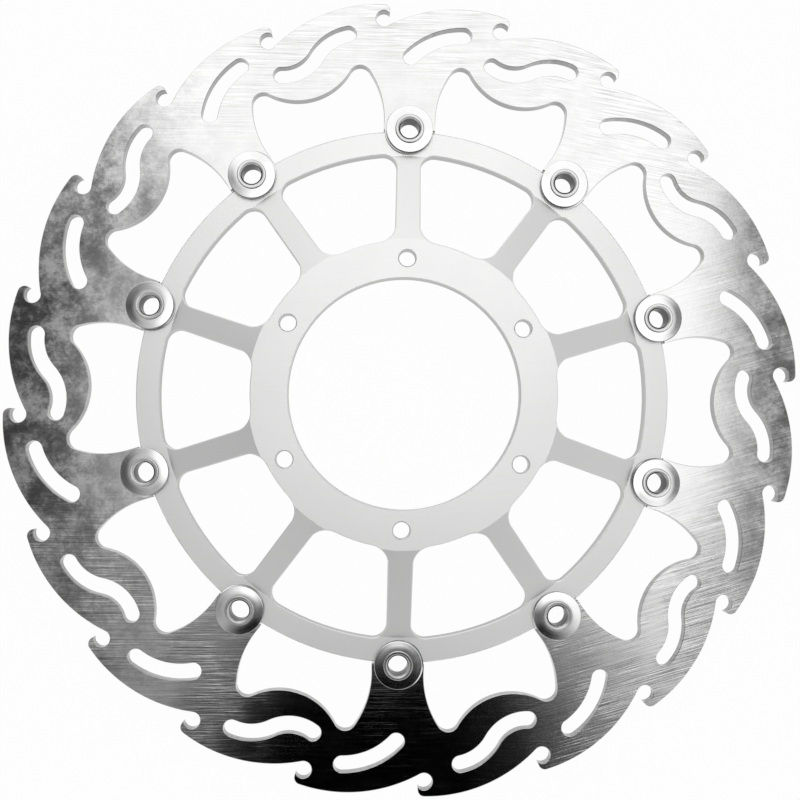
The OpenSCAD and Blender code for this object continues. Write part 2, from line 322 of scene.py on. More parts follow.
# %% [markdown]
# ## Finishes
# Ground steel is a mirror with fine scratches. Seen across, each scratch tips the surface by a degree or
# so, which smears the panels into streaks along the grinding. So the streaks are made as a bump, with
# noise that is squeezed across the scratch and stretched along it, and they also shift the roughness
# and the tone a little.

# %% Helpers for metal
STREAK_ROUGHNESS = 0.62
UPRIGHT_TO_LEVEL = (0.15, 0.6)


def streaks(finish, place, turn, length, width, detail=3.0, where=(0.0, 0.0, 0.0)):
    """Noise drawn out along a direction in the disc's plane, `turn` degrees from +X. Sizes in mm."""
    size = (length * MM, width * MM, length * MM)
    lay = finish.add("ShaderNodeMapping", vector_type="TEXTURE", Location=where,
                     Rotation=(0.0, 0.0, math.radians(turn)), Scale=size)
    finish.links.new(place, lay.inputs["Vector"])
    return finish.noise(lay.outputs[0], 1.0, detail, STREAK_ROUGHNESS)


def two_tones(finish, value, dark, light):
    ramp = finish.add("ShaderNodeValToRGB")
    for element, place, tone in zip(ramp.color_ramp.elements, (0.0, 1.0), (dark, light)):
        element.position = place
        element.color = (*tone, 1.0)
    finish.links.new(value, ramp.inputs[0])
    return ramp.outputs[0]


def dull_and_shaded_walls(finish, color, share):
    """Dims the colour where the surface stands upright: partly the duller cut edge, partly painted shade
    on walls and bores.
    """
    facing = finish.split(finish.add("ShaderNodeNewGeometry").outputs["Normal"])
    level = finish.fit(finish.calc("ABSOLUTE", facing["Z"]), share, 1.0, True, UPRIGHT_TO_LEVEL)
    return finish.vector("SCALE", color, level)


def metal(finish, color, roughness, normal, **constants):
    """Ends the circuit with bare metal. A value that is the same all over goes in `constants`."""
    shader = finish.add("ShaderNodeBsdfPrincipled", Metallic=1.0, **constants)
    for name, value in (("Base Color", color), ("Roughness", roughness), ("Normal", normal)):
        finish.links.new(value, shader.inputs[name])
    finish.links.new(shader.outputs[0], finish.end)


# %% [markdown]
# The grinding lines lie level over most of the ring, rise at the right and fall at the top right. Fine
# lines and broad ones are mixed. A zone is where an effect starts and where it is full, in metres from
# the axle.

# %% Grinding lines
FINE_LINE, BROAD_LINE, BROAD_SHARE = (18, 0.45, 3.0), (30, 0.8, 2.0), 0.45
LEVEL_LAY, RISING_LAY, FALLING_LAY = 1, 17, -9
RIGHT, TOP = (0.02, 0.08), (0.05, 0.09)


def grinding_lines(finish, place):
    spot = finish.split(place)
    right = finish.fit(spot["X"], 0.0, 1.0, True, RIGHT)
    top = finish.fit(spot["Y"], 0.0, 1.0, True, TOP)
    level = streaks(finish, place, LEVEL_LAY, *FINE_LINE)
    rising = streaks(finish, place, RISING_LAY, *FINE_LINE, (0.4, 0.1, 0.0))
    falling = streaks(finish, place, FALLING_LAY, *FINE_LINE, (0.2, 0.7, 0.0))
    fine = finish.mix(right, level, finish.mix(top, rising, falling))
    level = streaks(finish, place, LEVEL_LAY, *BROAD_LINE, (0.3, 0.5, 0.0))
    rising = streaks(finish, place, RISING_LAY, *BROAD_LINE, (0.6, 0.2, 0.0))
    broad = finish.mix(right, level, finish.mix(top, rising, falling))
    return finish.mix(BROAD_SHARE, fine, broad)


# %% [markdown]
# The lines are deepest low down on both sides, fainter at the left and faintest on the tabs' feet. Low
# on both sides their colour is also painted darker with stronger contrast, as painted reflection. At the
# left and along the right edge the steel has dull smudges, and there its colour is painted lighter and
# darker in patches, as painted reflection.

# %% Ground steel
ASIDE, LOW = (0.04, 0.075), (-0.08, -0.02)
PLAIN_LEFT, TAB_FEET = (-0.12, -0.05), (0.116, 0.144)
SMUDGE_AND_REFLECTION_LEFT, SMUDGE_AND_REFLECTION_RIGHT = (-0.125, -0.07), (0.12, 0.148)
GROUND_DARK, GROUND_LIGHT, GROUND_WALL_DULL_AND_SHADE = (0.53, 0.53, 0.525), (0.91, 0.91, 0.91), 0.38
GROUND_ROUGH, SMUDGE_ROUGH, MARK_ROUGH = (0.03, 0.08), 0.19, 0.22
RIDGE_DEPTH, RIDGE_DEEPEST, WAVE_DEPTH = 0.0055, 4.5, 0.015
# The noises, as scale, detail and roughness, and the part of a noise's range that is used.
SMUDGES, WEAR = (75.0, 8.0, 0.78), (45.0, 3.0, 0.6)
NOISE_SPAN, WEAR_SPAN, MARK_SPAN = (0.36, 0.64), (0.38, 0.60), (0.57, 0.66)
# The colour is multiplied by these, from the darkest place to the lightest: painted reflection in the
# patches, and in the lines low on both sides.
PATCH_PAINTED_REFLECTION, LOW_LINE_PAINTED_REFLECTION = (0.62, 1.25), (0.55, 1.08)


def make_ring_steel():
    material, finish = new_finish("ground_steel")
    place = finish.add("ShaderNodeTexCoord").outputs["Object"]
    spot = finish.split(place)
    raw = grinding_lines(finish, place)
    smudge = finish.noise(place, *SMUDGES)

    def zone(value, start, full, source):
        return finish.fit(value, start, full, True, source)

    aside = zone(finish.calc("ABSOLUTE", spot["X"]), 0.0, 1.0, ASIDE)
    low = zone(spot["Y"], 1.0, 0.0, LOW)
    deep = finish.calc("MULTIPLY", aside, low)
    depth = zone(finish.noise(place, *WEAR), 0.35, 1.0, WEAR_SPAN)
    left = finish.mix(deep, zone(spot["X"], 0.35, 1.0, PLAIN_LEFT), 1.0)
    depth = finish.calc("MULTIPLY", depth, left)
    feet = finish.mix(low, zone(finish.vector("LENGTH", place), 0.2, 1.0, TAB_FEET), 1.0)
    depth = finish.calc("MULTIPLY", depth, feet)
    lines = finish.mix(depth, 0.5, finish.fit(raw, 0.0, 1.0, False, NOISE_SPAN))
    marks = zone(raw, 0.0, 1.0, MARK_SPAN)
    marks = finish.calc("MULTIPLY", marks, finish.mix(deep, 0.15, 1.0))

    patches = zone(smudge, 0.0, 1.0, NOISE_SPAN)
    smudged_and_painted_reflection = finish.calc("MAXIMUM", zone(spot["X"], 1.0, 0.12, SMUDGE_AND_REFLECTION_LEFT),
                          zone(spot["X"], 0.0, 0.7, SMUDGE_AND_REFLECTION_RIGHT))
    dull = finish.calc("MULTIPLY", patches, smudged_and_painted_reflection)

    color = dull_and_shaded_walls(finish, two_tones(finish, lines, GROUND_DARK, GROUND_LIGHT), GROUND_WALL_DULL_AND_SHADE)
    # Painted reflection: lighter and darker patches where the smudges are, and darker, stronger lines
    # low on both sides.
    painted_reflection = finish.calc("MULTIPLY", finish.mix(smudged_and_painted_reflection, 1.0, finish.fit(patches, *PATCH_PAINTED_REFLECTION)),
                        finish.mix(deep, 1.0, finish.fit(lines, *LOW_LINE_PAINTED_REFLECTION)))
    rough = finish.mix(dull, finish.fit(lines, *GROUND_ROUGH), SMUDGE_ROUGH)
    rough = finish.mix(marks, rough, MARK_ROUGH)
    ridges = finish.calc("MULTIPLY", lines, finish.mix(deep, 1.0, RIDGE_DEEPEST))
    relief = finish.bump(smudge, WAVE_DEPTH, finish.bump(ridges, RIDGE_DEPTH))
    metal(finish, finish.vector("SCALE", color, painted_reflection), rough, relief)
    return material


ring_steel = make_ring_steel()
print("nodes in the ground steel:", len(ring_steel.node_tree.nodes))

# %% [markdown]
# The carrier is cut from aluminium plate, blasted or etched to an even satin, and anodised clear. It
# has no scratches, only a very fine grain, and it shows the room as a soft glow instead of a picture.

# %% Satin aluminium
SATIN_DARK, SATIN_LIGHT, SATIN_WALL_SHADE = (0.87, 0.87, 0.865), (0.96, 0.96, 0.955), 0.48
SATIN_ROUGH, GRAIN_DEPTH = (0.33, 0.41), 0.012
GRAIN, CLOUD, DRAWN = (1500.0, 2.0, 0.7), (26.0, 3.0, 0.5), (16, 0.4)


def make_carrier_aluminium():
    material, finish = new_finish("satin_aluminium")
    place = finish.add("ShaderNodeTexCoord").outputs["Object"]
    grain = finish.noise(place, *GRAIN)
    cloud = finish.noise(place, *CLOUD)
    tone = finish.mix(grain, streaks(finish, place, 0, *DRAWN), cloud)
    color = dull_and_shaded_walls(finish, two_tones(finish, tone, SATIN_DARK, SATIN_LIGHT), SATIN_WALL_SHADE)
    metal(finish, color, finish.fit(cloud, *SATIN_ROUGH), finish.bump(grain, GRAIN_DEPTH))
    return material


carrier_aluminium = make_carrier_aluminium()
print("nodes in the satin aluminium:", len(carrier_aluminium.node_tree.nodes))

# %% [markdown]
# Bobbins and washers are turned on a lathe, which leaves rings round their own centre. Each turned
# piece carries a value called `radius`, its distance from its own centre, and the tool marks are
# noise along that value alone, so they run in true circles wherever the piece sits.

# %% Turned steel
TOOL_MARKS, STEEL_CLOUD = 3500.0, (160.0, 4.0, 0.6)
BOTH_SPAN = (0.6, 1.4)
BORE_TINT = (0.45, 0.45, 0.45, 1.0)


def make_turned(name, dark, light, rough, depth, wall):
    """Tones, roughness, the marks' depth in mm, and how much of its colour an upright wall keeps, as
    painted shade.
    """
    material, finish = new_finish(name)
    radius = finish.add("ShaderNodeAttribute", attribute_name="radius").outputs["Fac"]
    marks = finish.add("ShaderNodeTexNoise", noise_dimensions="1D", Scale=TOOL_MARKS, Detail=3.0)
    finish.links.new(radius, marks.inputs["W"])
    cloud = finish.noise(finish.add("ShaderNodeTexCoord").outputs["Object"], *STEEL_CLOUD)
    both = finish.calc("ADD", marks.outputs["Fac"], cloud)
    tone = finish.fit(both, 0.0, 1.0, False, BOTH_SPAN)
    color = dull_and_shaded_walls(finish, two_tones(finish, tone, dark, light), wall)
    metal(finish, color, finish.fit(both, *rough, False, BOTH_SPAN),
          finish.bump(marks.outputs["Fac"], depth), Specular_Tint=BORE_TINT)
    return material


# The last number is the share of its colour that an upright wall or bore keeps: painted shade.
bobbin_steel = make_turned(
    "bobbin_steel", (0.52, 0.52, 0.515), (0.72, 0.72, 0.72), (0.10, 0.20), 0.0008, 0.24)
washer_steel = make_turned(
    "washer_steel", (0.66, 0.66, 0.655), (0.86, 0.86, 0.86), (0.07, 0.13), 0.0005, 0.5)
spring_steel = make_turned(
    "spring_steel", (0.60, 0.60, 0.605), (0.78, 0.78, 0.78), (0.16, 0.28), 0.0010, 0.9)
print("finishes:", [m.name for m in bpy.data.materials])

# %% [markdown]
# ## The brake ring's outline
# The ring is cut from plate by laser, so its shape is a flat drawing with a thickness. The drawing
# repeats ten times: two hooked teeth, one tab with half a window on each side, one curved slot and one
# S slot. Each line of it is an arc that runs smoothly into the next.

# %% Helpers for drawing
ARC_SAG = 0.004                 # mm
ARC_STEP = 6.0                  # the widest step, in degrees


def along(angle):
    return Vector((math.cos(math.radians(angle)), math.sin(math.radians(angle))))


def left_of(angle):
    return along(angle + 90)


def direction(v):
    return math.degrees(math.atan2(v[1], v[0]))


def polar(r, angle):
    return Vector((r * math.sin(math.radians(angle)), r * math.cos(math.radians(angle))))


def turned(p, angle):
    c, s = math.cos(math.radians(angle)), math.sin(math.radians(angle))
    return Vector((p[0] * c + p[1] * s, p[1] * c - p[0] * s))


def flipped(p):
    return Vector((-p[0], p[1]))


def arc(centre, r, start, end):
    """Points of an arc, without its last one. The chords stay within `ARC_SAG` mm of it."""
    step = min(ARC_STEP, 2 * math.degrees(math.acos(1 - ARC_SAG / abs(r))))
    count = max(2, math.ceil(abs(end - start) / step))
    return [centre + r * along(start + (end - start) * i / count) for i in range(count)]


# %% Teeth
RIM_R = 160.0
TOOTH_PITCH = 360 / (2 * BOBBINS)
NOTCH_R, NOTCH_DEPTH = 3.3, 6.2  # the round notch under a hook, and its centre below the rim
TIP_R = 2.7                     # the rounding of the hook itself
CREST_PLACE = 0.858             # where a tooth is highest, as a share of its pitch
NOTCH_LEAD = -4.24              # degrees from a bobbin's line to a notch


def tooth():
    """One tooth, from the point of its first hook to the point of the next."""
    crest = CREST_PLACE * TOOTH_PITCH
    low_r = RIM_R - NOTCH_DEPTH
    notch = Vector((0.0, low_r))
    cos_crest = math.cos(math.radians(crest))
    back_r = RIM_R * RIM_R + low_r * low_r - 2 * low_r * cos_crest * RIM_R - NOTCH_R * NOTCH_R
    back_r /= 2 * (RIM_R - low_r * cos_crest + NOTCH_R)
    back = polar(RIM_R - back_r, crest)
    past = math.radians(TOOTH_PITCH - crest)
    inner = RIM_R - back_r
    tip_c_r = inner * math.cos(past) + math.sqrt((back_r - TIP_R) ** 2 - (inner * math.sin(past)) ** 2)
    tip = polar(tip_c_r, TOOTH_PITCH)
    back_from = direction(notch - back)
    back_to = direction(tip - back)
    below = tip_c_r - low_r
    drop = (below * below + TIP_R * TIP_R - NOTCH_R * NOTCH_R) / (2 * below)
    side = math.sqrt(TIP_R * TIP_R - drop * drop)
    last = direction((side, -drop)) - TOOTH_PITCH
    points = arc(notch, NOTCH_R, direction((side, below - drop)), 180 + back_from)
    points += arc(back, back_r, back_from, back_to)
    points += arc(tip, TIP_R, back_to, last)
    points.append(tip + TIP_R * along(last))
    return points


tooth_line = tooth()
rim_line = [turned(p, NOTCH_LEAD - PITCH / 2) for p in tooth_line]
rim_line += [turned(p, NOTCH_LEAD - PITCH / 2 + TOOTH_PITCH) for p in tooth_line[1:]]
print("points on two teeth:", len(rim_line), "highest at r =", round(max(p.length for p in rim_line), 2))

# %% [markdown]
# Inside, the line comes round the tab: along the half-round pocket that fits the bobbin, out to the
# side of the tab, up the flare, round the lobe and over the hump to the middle of the next window.

# %% Tab and window
BOBBIN_R = 107.5
POCKET_R = 7.6
TAB_END_R = 108.0
TAB_W = 20.8
HUMP_BOTTOM_R = RIM_R - 34.4
LOBE_R, LOBE_RISE = 4.5, 5.2
FLARE_R = 36.0


def half_tab():
    """From the top of the pocket to the middle of the window, with the tab's middle on +Y."""
    middle = Vector((0.0, BOBBIN_R))
    meet = TAB_END_R ** 2 - BOBBIN_R ** 2 - POCKET_R ** 2
    meet = math.degrees(math.acos(meet / (2 * BOBBIN_R * POCKET_R)))
    lobe = polar(HUMP_BOTTOM_R + LOBE_RISE, -PITCH / 4)
    rise = lobe[1] - HUMP_BOTTOM_R
    hump_r = (lobe[0] ** 2 + rise * rise - LOBE_R ** 2) / (2 * (LOBE_R + rise))
    hump = Vector((0.0, HUMP_BOTTOM_R + hump_r))
    from_tab = turned(lobe, PITCH / 2)
    side = TAB_W / 2 + FLARE_R
    up = from_tab[1] - math.sqrt((FLARE_R - LOBE_R) ** 2 - (from_tab[0] - side) ** 2)
    flare = turned((side, up), -PITCH / 2)
    to_lobe = direction(lobe - flare)
    to_hump = direction(hump - lobe)
    window = arc(flare, FLARE_R, 180 + PITCH / 2, to_lobe)
    window += arc(lobe, LOBE_R, to_lobe, to_hump)
    window += arc(hump, hump_r, 180 + to_hump, 270)
    window.append(Vector((0.0, HUMP_BOTTOM_R)))
    points = arc(middle, POCKET_R, 90, 90 - meet)
    corner = math.degrees(math.asin(TAB_W / 2 / TAB_END_R))
    start = math.degrees(math.asin(POCKET_R * math.sin(math.radians(meet)) / TAB_END_R))
    points += arc(Vector((0.0, 0.0)), TAB_END_R, 90 - start, 90 - corner)
    points.append(Vector((TAB_W / 2, TAB_END_R * math.cos(math.radians(corner)))))
    return points + [turned(p, PITCH / 2) for p in window]


half = half_tab()
tab_line = [flipped(p) for p in reversed(half[1:])] + half
print("points round one tab:", len(tab_line))

# %% [markdown]
# A slot is a cutter's path: it starts at one point, follows one or two bends and ends round. Both
# sides are the path moved half a slot's width to the left or right.

# %% Slots
SLOT_W = 6.5
BEND_STEP = 2.0


def slot(place, depth, start, bends):
    """A closed slot. A bend is a radius and a turn in degrees, both negative to the right."""
    def side(w):
        p, a, points = Vector((0.0, 0.0)), 0.0, []
        for r, turn in bends:
            centre = p + r * left_of(a)
            count = max(4, math.ceil(abs(turn) / BEND_STEP))
            points += [centre - (r - w) * left_of(a + turn * i / count) for i in range(count)]
            p, a = centre - r * left_of(a + turn), a + turn
        return points, p, a
    left, end, heading = side(SLOT_W / 2)
    right, _, _ = side(-SLOT_W / 2)
    points = left + arc(end, SLOT_W / 2, heading + 90, heading - 90)
    points.append(end - SLOT_W / 2 * left_of(heading))
    points += list(reversed(right))[:-1]
    points += arc(Vector((0.0, 0.0)), SLOT_W / 2, 270, 90)
    foot = Vector((0.0, RIM_R - depth))
    return [turned(foot + turned(p, -start), place) for p in points]


arc_slot = slot(place=0, depth=22.2, start=46.6, bends=[(-29.5, -46.5)])
s_slot = slot(place=PITCH / 2 - 4.2, depth=21.2, start=-22.2, bends=[(16.0, 61.2), (-19.3, -48.6)])
print("points round the slots:", len(arc_slot), len(s_slot))

# %% [markdown]
# ## From outline to plate
# A laser-cut, ground plate has edges broken by hand or by tumbling, and that thin bevel is what catches
# the light. The walls of one sector are built here: at each line, a row of points inset and low, one
# full and straight, and one inset again. The node tree then turns that sector ten times round the
# axle, welds it and fills the two faces. Repeating by nodes keeps all ten alike for any count.

# %% Walls of one sector
FRONT_Z, BACK_Z = -2.0, -7.0
STEEL_EDGE = 0.22               # the bevel's width in mm
HALF_BROKEN = 0.3               # the middle of the bevel, as a share of its width
SHARP_FIT, LEAST_FIT = 0.88, 0.5  # a corner that fits its edges' normals worse than this is sharp
FADE = 4.0                      # bevel widths from a sharp corner to the full bevel


def inset(points, by, closed, solid_left):
    """Points moved `by` mm into the metal, along the mean of the two edges' normals. Near a sharp
    corner the move fades to nothing, so the moved line never crosses itself."""
    count = len(points)
    means = []
    for i, p in enumerate(points):
        before = points[i - 1] if i or closed else None
        after = points[(i + 1) % count] if i < count - 1 or closed else None
        normals = []
        for a, b in ((before, p), (p, after)):
            if a is not None and b is not None and (b - a).length > 1e-9:
                d = (b - a).normalized()
                normals.append(Vector((-d[1], d[0])))
        n = sum(normals, Vector((0.0, 0.0))).normalized()
        means.append((n, n.dot(normals[0])))
    sharp = [p for p, (n, fit) in zip(points, means) if fit < SHARP_FIT]
    moved = []
    for p, (n, fit) in zip(points, means):
        room = min(((p - q).length for q in sharp), default=FADE * by)
        reach = by * min(1.0, room / (FADE * by)) / max(LEAST_FIT, fit)
        moved.append(p + n * reach * (1 if solid_left else -1))
    return moved


def wall_strip(verts, faces, points, closed, solid_left, low, high, edge):
    """Three bands of wall: a bevel, the straight cut and a bevel."""
    tucked = inset(points, edge, closed, solid_left)
    half_way = inset(points, edge * HALF_BROKEN, closed, solid_left)
    rows = [
        (tucked, low), (half_way, low + edge * HALF_BROKEN), (points, low + edge),
        (points, high - edge), (half_way, high - edge * HALF_BROKEN), (tucked, high),
    ]
    first = len(verts)
    for line, z in rows:
        verts += [(p[0] * MM, p[1] * MM, z * MM) for p in line]
    n = len(points)
    for row in range(len(rows) - 1):
        for i in range(n if closed else n - 1):
            a, b = first + row * n + i, first + row * n + (i + 1) % n
            faces.append((a, b, b + n, a + n))


def open_ends(points):
    """An open line with one more point at each end, taken from its neighbours in the next sectors."""
    before = turned(points[-2], -PITCH)
    after = turned(points[1], PITCH)
    return [before] + points + [after]


def sector_mesh():
    verts, faces = [], []
    for line, solid_left in ((rim_line, False), (tab_line, True)):
        wide = open_ends(line)
        rows_verts, rows_faces = [], []
        wall_strip(rows_verts, rows_faces, wide, False, solid_left, BACK_Z, FRONT_Z, STEEL_EDGE)
        n = len(wide)
        keep = {}
        for i, v in enumerate(rows_verts):
            if 0 < i % n < n - 1:
                keep[i] = len(verts)
                verts.append(v)
        faces += [tuple(keep[i] for i in f) for f in rows_faces if all(i in keep for i in f)]
    for loop in (arc_slot, s_slot):
        wall_strip(verts, faces, loop, True, True, BACK_Z, FRONT_Z, STEEL_EDGE)
    mesh = bpy.data.meshes.new("ring_sector")
    mesh.from_pydata(verts, [], faces)
    return mesh


sector = sector_mesh()
print("faces on one sector's walls:", len(sector.polygons))

# %% [markdown]
# A node tree is a recipe with named inputs. These helpers make one, name its inputs, and bake what it
# makes into a plain mesh, so that no live recipe is left on a piece.

# %% Helpers for node trees
def new_tree(name, inputs):
    tree = bpy.data.node_groups.new(name, "GeometryNodeTree")
    tree.is_modifier = True
    kinds = {"geometry": "NodeSocketGeometry", "int": "NodeSocketInt", "float": "NodeSocketFloat",
             "vector": "NodeSocketVector", "material": "NodeSocketMaterial"}
    tree.interface.new_socket("Geometry", in_out="OUTPUT", socket_type="NodeSocketGeometry")
    for label, kind in inputs:
        tree.interface.new_socket(label, in_out="INPUT", socket_type=kinds[kind])
    given = tree.nodes.new("NodeGroupInput")
    result = tree.nodes.new("NodeGroupOutput")
    return tree, given.outputs, result.inputs[0]


def gn(tree, kind, inputs=None, **settings):
    """One geometry node. `inputs` maps a socket's name or number to a value or to a link."""
    node = tree.nodes.new(kind)
    for key, value in settings.items():
        setattr(node, key, value)
    for key, value in (inputs or {}).items():
        socket = node.inputs[key]
        if isinstance(value, bpy.types.NodeSocket):
            tree.links.new(value, socket)
        else:
            socket.default_value = value
    return node


def end_recipe(tree, geometry, material, result):
    """Every recipe ends alike: copies are made real, and the finish is put on."""
    real = gn(tree, "GeometryNodeRealizeInstances", {0: geometry}).outputs[0]
    painted = gn(tree, "GeometryNodeSetMaterial", {"Geometry": real, "Material": material})
    tree.links.new(painted.outputs[0], result)


def gn_math(tree, operation, a, b=0.0):
    return gn(tree, "ShaderNodeMath", {0: a, 1: b}, operation=operation).outputs[0]


def plain_copy(obj):
    """The object's mesh with its modifiers applied. The object itself is thrown away."""
    bpy.context.view_layer.update()
    depsgraph = bpy.context.evaluated_depsgraph_get()
    made = bpy.data.meshes.new_from_object(obj.evaluated_get(depsgraph))
    bpy.data.objects.remove(obj)
    return made


def bake(tree, mesh, material, **values):
    """Runs the recipe on a mesh with these inputs, and returns the plain mesh that it makes."""
    worker = bpy.data.objects.new("worker", mesh)
    scene.collection.objects.link(worker)
    recipe = worker.modifiers.new("recipe", "NODES")
    recipe.node_group = tree
    sockets = {i.name: i.identifier for i in tree.interface.items_tree if i.in_out == "INPUT"}
    recipe[sockets["Material"]] = material
    for label, value in values.items():
        recipe[sockets[label.replace("_", " ")]] = value
    return plain_copy(worker)


# %% The plate's recipe
WELD = 2e-6                     # metres


def make_plate_tree():
    tree, given, result = new_tree("plate_from_sector", [
        ("Geometry", "geometry"), ("Count", "int"), ("Front", "float"), ("Back", "float"),
        ("Material", "material")])
    spots = gn(tree, "GeometryNodeMeshLine", {"Count": given["Count"], "Offset": (0.0, 0.0, 0.0)})
    step = gn_math(tree, "DIVIDE", -math.tau, given["Count"])
    angle = gn_math(tree, "MULTIPLY", gn(tree, "GeometryNodeInputIndex").outputs[0], step)
    euler = gn(tree, "ShaderNodeCombineXYZ", {"Z": angle}).outputs[0]
    turn = gn(tree, "FunctionNodeEulerToRotation", {0: euler}).outputs[0]
    copies = gn(tree, "GeometryNodeInstanceOnPoints", {
        "Points": spots.outputs[0], "Instance": given["Geometry"], "Rotation": turn})
    real = gn(tree, "GeometryNodeRealizeInstances", {0: copies.outputs[0]}).outputs[0]
    walls = gn(tree, "GeometryNodeMergeByDistance", {"Geometry": real, "Distance": WELD}).outputs[0]
    height = gn(tree, "ShaderNodeSeparateXYZ", {0: gn(tree, "GeometryNodeInputPosition").outputs[0]})
    middle = gn_math(tree, "MULTIPLY", gn_math(tree, "ADD", given["Front"], given["Back"]), 0.5)
    faces_at = gn(tree, "GeometryNodeInputMeshEdgeNeighbors").outputs[0]
    border = gn(tree, "FunctionNodeCompare", {2: faces_at, 3: 1}, data_type="INT", operation="EQUAL")
    parts = [walls]
    for level, operation in (("Front", "GREATER_THAN"), ("Back", "LESS_THAN")):
        side = gn(tree, "FunctionNodeCompare", {0: height.outputs["Z"], 1: middle}, operation=operation)
        both = gn(tree, "FunctionNodeBooleanMath", {0: border.outputs[0], 1: side.outputs[0]})
        line = gn(tree, "GeometryNodeMeshToCurve", {"Mesh": walls, "Selection": both.outputs[0]})
        flat = gn(tree, "GeometryNodeFillCurve", {"Curve": line.outputs[0]}).outputs[0]
        lift = gn(tree, "ShaderNodeCombineXYZ", {"Z": given[level]}).outputs[0]
        parts.append(gn(tree, "GeometryNodeSetPosition", {"Geometry": flat, "Offset": lift}).outputs[0])
    joined = gn(tree, "GeometryNodeJoinGeometry")
    for part in parts:
        tree.links.new(part, joined.inputs[0])
    welded = gn(tree, "GeometryNodeMergeByDistance", {"Geometry": joined.outputs[0], "Distance": WELD})
    end_recipe(tree, welded.outputs[0], given["Material"], result)
    return tree


# %% [markdown]
# Ground and turned metal has flat faces that meet at crisp, slightly broken edges: a mesh is shaded
# smooth, and only edges that turn more than a set angle stay crisp. A level face stays flat to its rim.

# %% Brake ring
LEVEL, LEVEL_CREASE = 0.9995, 5.0
RING_CRISP, CARRIER_CRISP, SMALL_CRISP = 14.0, 12.0, 30.0


def finish_mesh(mesh, crisp):
    """Weld, point every face outwards, and shade smooth up to the crisp angle, in degrees."""
    bm = bmesh.new()
    bm.from_mesh(mesh)
    bmesh.ops.remove_doubles(bm, verts=bm.verts, dist=WELD)
    bmesh.ops.recalc_face_normals(bm, faces=bm.faces)
    open_edges = sum(1 for e in bm.edges if len(e.link_faces) != 2)
    bm.to_mesh(mesh)
    bm.free()
    mesh.shade_smooth()
    mesh.set_sharp_from_angle(angle=math.radians(crisp))
    bm = bmesh.new()
    bm.from_mesh(mesh)
    for e in bm.edges:
        if len(e.link_faces) == 2 and e.calc_face_angle(0.0) > math.radians(LEVEL_CREASE):
            if max(abs(f.normal.z) for f in e.link_faces) > LEVEL:
                e.smooth = False
    bm.to_mesh(mesh)
    bm.free()
    return open_edges


plate_tree = make_plate_tree()
ring_mesh = bake(plate_tree, sector, ring_steel, Count=BOBBINS, Front=FRONT_Z * MM, Back=BACK_Z * MM)
ring_open = finish_mesh(ring_mesh, RING_CRISP)
ring = piece("ground_brake_ring", ring_mesh, ring_steel)
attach(ring, "ring")
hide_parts("brake_ring")
print("brake ring:", len(ring_mesh.polygons), "faces,", ring_open, "open edges")

# %% [markdown]
# ## The carrier
# The carrier's hub, sloping spokes and rim are already exact in the solid. What the solid lacks is the
# broken edge: on the real part a small bevel runs round every spoke and hole and shines as a thin pale
# line. So a copy of the solid's mesh is welded, its flat faces are joined up, and a Bevel modifier with
# an angle limit breaks just the crisp edges.

# %% Carrier
CARRIER_EDGE = 0.35
JOIN_UP_TO, BREAK_FROM = 0.4, 50  # degrees between two faces


def make_carrier():
    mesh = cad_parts["carrier"].data.copy()
    bm = bmesh.new()
    bm.from_mesh(mesh)
    bmesh.ops.remove_doubles(bm, verts=bm.verts, dist=WELD)
    bmesh.ops.dissolve_limit(bm, angle_limit=math.radians(JOIN_UP_TO), verts=bm.verts, edges=bm.edges)
    bm.to_mesh(mesh)
    bm.free()
    worker = bpy.data.objects.new("worker", mesh)
    scene.collection.objects.link(worker)
    bevel = worker.modifiers.new("broken edge", "BEVEL")
    bevel.limit_method = "ANGLE"
    bevel.angle_limit = math.radians(BREAK_FROM)
    bevel.width = CARRIER_EDGE * MM
    bevel.segments = 2
    bevel.use_clamp_overlap = False
    return plain_copy(worker)


carrier_mesh = make_carrier()
carrier_open = finish_mesh(carrier_mesh, CARRIER_CRISP)
carrier = piece("satin_carrier", carrier_mesh, carrier_aluminium)
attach(carrier, "carrier")
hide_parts("carrier")
print("carrier:", len(carrier_mesh.polygons), "faces,", carrier_open, "open edges")

# %% [markdown]
# ## Bobbins and washers
# A turned piece is one section spun round its own axis. The section is a list of corners, each with
# its own small rounding. A bobbin has a rear flange, a barrel that the ring slides on, a neck, and a lip
# that is rolled over the washer, with a countersunk bore through it all.

# %% Turned sections
TURN_STEPS = 96
BORE_R, MOUTH_R, NECK_R, LIP_R, BARREL_R, FLANGE_R = 3.9, 4.6, 5.5, 5.85, 7.5, 9.5
SHOULDER_Z, WASHER_TOP_Z, MOUTH_Z, LIP_Z = -0.8, 0.7, 0.75, 1.5
WASHER_HOLE_R, WASHER_R = 5.55, 9.5


def soften(corners, steps=4):
    """A closed section from corners (radius, height, rounding), all in mm."""
    points = []
    count = len(corners)
    for i, (r, z, fillet) in enumerate(corners):
        p = Vector((r, z))
        before = Vector(corners[i - 1][:2]) - p
        after = Vector(corners[(i + 1) % count][:2]) - p
        if fillet <= 0:
            points.append(p)
            continue
        angle = before.angle(after)
        reach = min(fillet / math.tan(angle / 2), before.length * 0.48, after.length * 0.48)
        start = p + before.normalized() * reach
        end = p + after.normalized() * reach
        for k in range(steps + 1):
            t = k / steps
            a, b = start.lerp(p, t), p.lerp(end, t)
            points.append(a.lerp(b, t))
    return points


def spin(name, section):
    verts, faces, n = [], [], len(section)
    for i in range(TURN_STEPS):
        a = math.tau * i / TURN_STEPS
        verts += [(p[0] * math.cos(a) * MM, p[0] * math.sin(a) * MM, p[1] * MM) for p in section]
        here, there = i * n, (i + 1) % TURN_STEPS * n
        faces += [(here + k, there + k, there + (k + 1) % n, here + (k + 1) % n) for k in range(n)]
    mesh = bpy.data.meshes.new(name)
    mesh.from_pydata(verts, [], faces)
    return mesh


